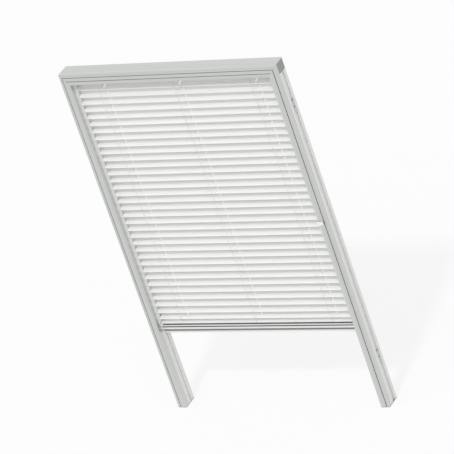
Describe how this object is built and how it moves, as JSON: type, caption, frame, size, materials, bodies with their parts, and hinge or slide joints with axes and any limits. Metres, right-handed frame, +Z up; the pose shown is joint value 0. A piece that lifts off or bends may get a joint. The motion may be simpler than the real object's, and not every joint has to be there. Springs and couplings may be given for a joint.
{
  "type": "roof window venetian blind",
  "caption": "Venetian blind in aluminium side rails for a roof window: white curved slats tilt on a slider in the rail, and a bottom bar runs up the rails and gathers them.",
  "frame": {"origin": "middle of the bounding box's base: centred across the width and the depth, at the rails' lower ends", "axes": "+X across the blind to the right seen from the room, +Y from the room towards the window, +Z up along the rails"},
  "size_m": [0.644, 0.051, 1.036],
  "materials": {
    "aluminium": "satin anodised",
    "slat": "white lacquer, semi-matt",
    "white_plastic": "moulded, smooth",
    "grey_plastic": "moulded, fine matt",
    "steel": "zinc plated",
    "cord": "braided polyester"
  },
  "bodies": {
    "frame": {"headrail": "aluminium", "side_rails": "aluminium", "slat_guides": "white_plastic", "headrail_end_caps": "grey_plastic", "rail_end_plugs": "grey_plastic", "fixing_clips": "steel", "drum_cradles": "white_plastic", "slat_shoes": "grey_plastic", "ladder_cords": "cord", "ladder_cord_tails": "cord", "lift_cords": "cord", "rail_cords": "cord", "tilt_cord": "cord"},
    "tilt_drive": {"tilt_shaft": "steel", "ladder_drums": "white_plastic", "tilt_pulley": "white_plastic"},
    "slider": {"tilt_slider": "white_plastic"},
    "bar": {"bottom_bar": "aluminium", "bar_end_shoes": "white_plastic"},
    "slat_carrier_28": {"slat_carrier_28": "grey_plastic"},
    "slat_carrier_29": {"slat_carrier_29": "grey_plastic"},
    "slat_carrier_30": {"slat_carrier_30": "grey_plastic"},
    "slat_carrier_31": {"slat_carrier_31": "grey_plastic"},
    "slat_carrier_32": {"slat_carrier_32": "grey_plastic"},
    "slat_carrier_33": {"slat_carrier_33": "grey_plastic"},
    "slat_carrier_34": {"slat_carrier_34": "grey_plastic"},
    "slat_01": {"slat_01": "slat"},
    "slat_02": {"slat_02": "slat"},
    "slat_03": {"slat_03": "slat"},
    "slat_04": {"slat_04": "slat"},
    "slat_05": {"slat_05": "slat"},
    "slat_06": {"slat_06": "slat"},
    "slat_07": {"slat_07": "slat"},
    "slat_08": {"slat_08": "slat"},
    "slat_09": {"slat_09": "slat"},
    "slat_10": {"slat_10": "slat"},
    "slat_11": {"slat_11": "slat"},
    "slat_12": {"slat_12": "slat"},
    "slat_13": {"slat_13": "slat"},
    "slat_14": {"slat_14": "slat"},
    "slat_15": {"slat_15": "slat"},
    "slat_16": {"slat_16": "slat"},
    "slat_17": {"slat_17": "slat"},
    "slat_18": {"slat_18": "slat"},
    "slat_19": {"slat_19": "slat"},
    "slat_20": {"slat_20": "slat"},
    "slat_21": {"slat_21": "slat"},
    "slat_22": {"slat_22": "slat"},
    "slat_23": {"slat_23": "slat"},
    "slat_24": {"slat_24": "slat"},
    "slat_25": {"slat_25": "slat"},
    "slat_26": {"slat_26": "slat"},
    "slat_27": {"slat_27": "slat"},
    "slat_28": {"slat_28": "slat"},
    "slat_29": {"slat_29": "slat"},
    "slat_30": {"slat_30": "slat"},
    "slat_31": {"slat_31": "slat"},
    "slat_32": {"slat_32": "slat"},
    "slat_33": {"slat_33": "slat"},
    "slat_34": {"slat_34": "slat"}
  },
  "joints": [
    {"name": "bar_slide", "type": "slide", "parent": "frame", "child": "bar", "axis": [0, 0, 1], "range_m": [0, 0.1135], "deforming": ["ladder_cord_tails", "lift_cords", "rail_cords"]},
    {"name": "tilt_slide", "type": "slide", "parent": "frame", "child": "slider", "axis": [0, 0, 1], "range_m": [-0.013, 0.021], "deforming": ["ladder_cords"]},
    {"name": "shaft_turn", "type": "hinge", "parent": "frame", "child": "tilt_drive", "pos_m": [0, 0.0095, 1.01975], "axis": [1, 0, 0], "range_deg": [-100.4, 62.2]},
    {"name": "slat_rise_28", "type": "slide", "parent": "frame", "child": "slat_carrier_28", "axis": [0, 0, 1], "range_m": [0, 0.0165]},
    {"name": "slat_rise_29", "type": "slide", "parent": "frame", "child": "slat_carrier_29", "axis": [0, 0, 1], "range_m": [0, 0.033]},
    {"name": "slat_rise_30", "type": "slide", "parent": "frame", "child": "slat_carrier_30", "axis": [0, 0, 1], "range_m": [0, 0.0495]},
    {"name": "slat_rise_31", "type": "slide", "parent": "frame", "child": "slat_carrier_31", "axis": [0, 0, 1], "range_m": [0, 0.066]},
    {"name": "slat_rise_32", "type": "slide", "parent": "frame", "child": "slat_carrier_32", "axis": [0, 0, 1], "range_m": [0, 0.0825]},
    {"name": "slat_rise_33", "type": "slide", "parent": "frame", "child": "slat_carrier_33", "axis": [0, 0, 1], "range_m": [0, 0.099]},
    {"name": "slat_rise_34", "type": "slide", "parent": "frame", "child": "slat_carrier_34", "axis": [0, 0, 1], "range_m": [0, 0.1135]},
    {"name": "slat_tilt_01", "type": "hinge", "parent": "frame", "child": "slat_01", "pos_m": [0, 0.0095, 0.983], "axis": [1, 0, 0], "range_deg": [-84.01, 52.01]},
    {"name": "slat_tilt_02", "type": "hinge", "parent": "frame", "child": "slat_02", "pos_m": [0, 0.0095, 0.9615], "axis": [1, 0, 0], "range_deg": [-84.01, 52.01]},
    {"name": "slat_tilt_03", "type": "hinge", "parent": "frame", "child": "slat_03", "pos_m": [0, 0.0095, 0.94], "axis": [1, 0, 0], "range_deg": [-84.01, 52.01]},
    {"name": "slat_tilt_04", "type": "hinge", "parent": "frame", "child": "slat_04", "pos_m": [0, 0.0095, 0.9185], "axis": [1, 0, 0], "range_deg": [-84.01, 52.01]},
    {"name": "slat_tilt_05", "type": "hinge", "parent": "frame", "child": "slat_05", "pos_m": [0, 0.0095, 0.897], "axis": [1, 0, 0], "range_deg": [-84.01, 52.01]},
    {"name": "slat_tilt_06", "type": "hinge", "parent": "frame", "child": "slat_06", "pos_m": [0, 0.0095, 0.8755], "axis": [1, 0, 0], "range_deg": [-84.01, 52.01]},
    {"name": "slat_tilt_07", "type": "hinge", "parent": "frame", "child": "slat_07", "pos_m": [0, 0.0095, 0.854], "axis": [1, 0, 0], "range_deg": [-84.01, 52.01]},
    {"name": "slat_tilt_08", "type": "hinge", "parent": "frame", "child": "slat_08", "pos_m": [0, 0.0095, 0.8325], "axis": [1, 0, 0], "range_deg": [-84.01, 52.01]},
    {"name": "slat_tilt_09", "type": "hinge", "parent": "frame", "child": "slat_09", "pos_m": [0, 0.0095, 0.811], "axis": [1, 0, 0], "range_deg": [-84.01, 52.01]},
    {"name": "slat_tilt_10", "type": "hinge", "parent": "frame", "child": "slat_10", "pos_m": [0, 0.0095, 0.7895], "axis": [1, 0, 0], "range_deg": [-84.01, 52.01]},
    {"name": "slat_tilt_11", "type": "hinge", "parent": "frame", "child": "slat_11", "pos_m": [0, 0.0095, 0.768], "axis": [1, 0, 0], "range_deg": [-84.01, 52.01]},
    {"name": "slat_tilt_12", "type": "hinge", "parent": "frame", "child": "slat_12", "pos_m": [0, 0.0095, 0.7465], "axis": [1, 0, 0], "range_deg": [-84.01, 52.01]},
    {"name": "slat_tilt_13", "type": "hinge", "parent": "frame", "child": "slat_13", "pos_m": [0, 0.0095, 0.725], "axis": [1, 0, 0], "range_deg": [-84.01, 52.01]},
    {"name": "slat_tilt_14", "type": "hinge", "parent": "frame", "child": "slat_14", "pos_m": [0, 0.0095, 0.7035], "axis": [1, 0, 0], "range_deg": [-84.01, 52.01]},
    {"name": "slat_tilt_15", "type": "hinge", "parent": "frame", "child": "slat_15", "pos_m": [0, 0.0095, 0.682], "axis": [1, 0, 0], "range_deg": [-84.01, 52.01]},
    {"name": "slat_tilt_16", "type": "hinge", "parent": "frame", "child": "slat_16", "pos_m": [0, 0.0095, 0.6605], "axis": [1, 0, 0], "range_deg": [-84.01, 52.01]},
    {"name": "slat_tilt_17", "type": "hinge", "parent": "frame", "child": "slat_17", "pos_m": [0, 0.0095, 0.639], "axis": [1, 0, 0], "range_deg": [-84.01, 52.01]},
    {"name": "slat_tilt_18", "type": "hinge", "parent": "frame", "child": "slat_18", "pos_m": [0, 0.0095, 0.6175], "axis": [1, 0, 0], "range_deg": [-84.01, 52.01]},
    {"name": "slat_tilt_19", "type": "hinge", "parent": "frame", "child": "slat_19", "pos_m": [0, 0.0095, 0.596], "axis": [1, 0, 0], "range_deg": [-84.01, 52.01]},
    {"name": "slat_tilt_20", "type": "hinge", "parent": "frame", "child": "slat_20", "pos_m": [0, 0.0095, 0.5745], "axis": [1, 0, 0], "range_deg": [-84.01, 52.01]},
    {"name": "slat_tilt_21", "type": "hinge", "parent": "frame", "child": "slat_21", "pos_m": [0, 0.0095, 0.553], "axis": [1, 0, 0], "range_deg": [-84.01, 52.01]},
    {"name": "slat_tilt_22", "type": "hinge", "parent": "frame", "child": "slat_22", "pos_m": [0, 0.0095, 0.5315], "axis": [1, 0, 0], "range_deg": [-84.01, 52.01]},
    {"name": "slat_tilt_23", "type": "hinge", "parent": "frame", "child": "slat_23", "pos_m": [0, 0.0095, 0.51], "axis": [1, 0, 0], "range_deg": [-84.01, 52.01]},
    {"name": "slat_tilt_24", "type": "hinge", "parent": "frame", "child": "slat_24", "pos_m": [0, 0.0095, 0.4885], "axis": [1, 0, 0], "range_deg": [-84.01, 52.01]},
    {"name": "slat_tilt_25", "type": "hinge", "parent": "frame", "child": "slat_25", "pos_m": [0, 0.0095, 0.467], "axis": [1, 0, 0], "range_deg": [-84.01, 52.01]},
    {"name": "slat_tilt_26", "type": "hinge", "parent": "frame", "child": "slat_26", "pos_m": [0, 0.0095, 0.4455], "axis": [1, 0, 0], "range_deg": [-84.01, 52.01]},
    {"name": "slat_tilt_27", "type": "hinge", "parent": "frame", "child": "slat_27", "pos_m": [0, 0.0095, 0.424], "axis": [1, 0, 0], "range_deg": [-84.01, 52.01]},
    {"name": "slat_tilt_28", "type": "hinge", "parent": "slat_carrier_28", "child": "slat_28", "pos_m": [0, 0.0095, 0.4025], "axis": [1, 0, 0], "range_deg": [-84.01, 52.01]},
    {"name": "slat_tilt_29", "type": "hinge", "parent": "slat_carrier_29", "child": "slat_29", "pos_m": [0, 0.0095, 0.381], "axis": [1, 0, 0], "range_deg": [-84.01, 52.01]},
    {"name": "slat_tilt_30", "type": "hinge", "parent": "slat_carrier_30", "child": "slat_30", "pos_m": [0, 0.0095, 0.3595], "axis": [1, 0, 0], "range_deg": [-84.01, 52.01]},
    {"name": "slat_tilt_31", "type": "hinge", "parent": "slat_carrier_31", "child": "slat_31", "pos_m": [0, 0.0095, 0.338], "axis": [1, 0, 0], "range_deg": [-84.01, 52.01]},
    {"name": "slat_tilt_32", "type": "hinge", "parent": "slat_carrier_32", "child": "slat_32", "pos_m": [0, 0.0095, 0.3165], "axis": [1, 0, 0], "range_deg": [-84.01, 52.01]},
    {"name": "slat_tilt_33", "type": "hinge", "parent": "slat_carrier_33", "child": "slat_33", "pos_m": [0, 0.0095, 0.295], "axis": [1, 0, 0], "range_deg": [-84.01, 52.01]},
    {"name": "slat_tilt_34", "type": "hinge", "parent": "slat_carrier_34", "child": "slat_34", "pos_m": [0, 0.0095, 0.2755], "axis": [1, 0, 0], "range_deg": [-84.01, 52.01]}
  ],
  "couplings": [
    {"joint": "shaft_turn", "follows": "tilt_slide", "rad_per_m": -83.333},
    {"joint": "slat_rise_28", "follows": "bar_slide", "ratio": 0.14537},
    {"joint": "slat_rise_29", "follows": "bar_slide", "ratio": 0.29075},
    {"joint": "slat_rise_30", "follows": "bar_slide", "ratio": 0.43612},
    {"joint": "slat_rise_31", "follows": "bar_slide", "ratio": 0.5815},
    {"joint": "slat_rise_32", "follows": "bar_slide", "ratio": 0.72687},
    {"joint": "slat_rise_33", "follows": "bar_slide", "ratio": 0.87225},
    {"joint": "slat_rise_34", "follows": "bar_slide", "ratio": 1},
    {"joint": "slat_tilt_01", "follows": "tilt_slide", "rad_per_m": -69.813},
    {"joint": "slat_tilt_02", "follows": "tilt_slide", "rad_per_m": -69.813},
    {"joint": "slat_tilt_03", "follows": "tilt_slide", "rad_per_m": -69.813},
    {"joint": "slat_tilt_04", "follows": "tilt_slide", "rad_per_m": -69.813},
    {"joint": "slat_tilt_05", "follows": "tilt_slide", "rad_per_m": -69.813},
    {"joint": "slat_tilt_06", "follows": "tilt_slide", "rad_per_m": -69.813},
    {"joint": "slat_tilt_07", "follows": "tilt_slide", "rad_per_m": -69.813},
    {"joint": "slat_tilt_08", "follows": "tilt_slide", "rad_per_m": -69.813},
    {"joint": "slat_tilt_09", "follows": "tilt_slide", "rad_per_m": -69.813},
    {"joint": "slat_tilt_10", "follows": "tilt_slide", "rad_per_m": -69.813},
    {"joint": "slat_tilt_11", "follows": "tilt_slide", "rad_per_m": -69.813},
    {"joint": "slat_tilt_12", "follows": "tilt_slide", "rad_per_m": -69.813},
    {"joint": "slat_tilt_13", "follows": "tilt_slide", "rad_per_m": -69.813},
    {"joint": "slat_tilt_14", "follows": "tilt_slide", "rad_per_m": -69.813},
    {"joint": "slat_tilt_15", "follows": "tilt_slide", "rad_per_m": -69.813},
    {"joint": "slat_tilt_16", "follows": "tilt_slide", "rad_per_m": -69.813},
    {"joint": "slat_tilt_17", "follows": "tilt_slide", "rad_per_m": -69.813},
    {"joint": "slat_tilt_18", "follows": "tilt_slide", "rad_per_m": -69.813},
    {"joint": "slat_tilt_19", "follows": "tilt_slide", "rad_per_m": -69.813},
    {"joint": "slat_tilt_20", "follows": "tilt_slide", "rad_per_m": -69.813},
    {"joint": "slat_tilt_21", "follows": "tilt_slide", "rad_per_m": -69.813},
    {"joint": "slat_tilt_22", "follows": "tilt_slide", "rad_per_m": -69.813},
    {"joint": "slat_tilt_23", "follows": "tilt_slide", "rad_per_m": -69.813},
    {"joint": "slat_tilt_24", "follows": "tilt_slide", "rad_per_m": -69.813},
    {"joint": "slat_tilt_25", "follows": "tilt_slide", "rad_per_m": -69.813},
    {"joint": "slat_tilt_26", "follows": "tilt_slide", "rad_per_m": -69.813},
    {"joint": "slat_tilt_27", "follows": "tilt_slide", "rad_per_m": -69.813},
    {"joint": "slat_tilt_28", "follows": "tilt_slide", "rad_per_m": -69.813},
    {"joint": "slat_tilt_29", "follows": "tilt_slide", "rad_per_m": -69.813},
    {"joint": "slat_tilt_30", "follows": "tilt_slide", "rad_per_m": -69.813},
    {"joint": "slat_tilt_31", "follows": "tilt_slide", "rad_per_m": -69.813},
    {"joint": "slat_tilt_32", "follows": "tilt_slide", "rad_per_m": -69.813},
    {"joint": "slat_tilt_33", "follows": "tilt_slide", "rad_per_m": -69.813},
    {"joint": "slat_tilt_34", "follows": "tilt_slide", "rad_per_m": -69.813}
  ]
}
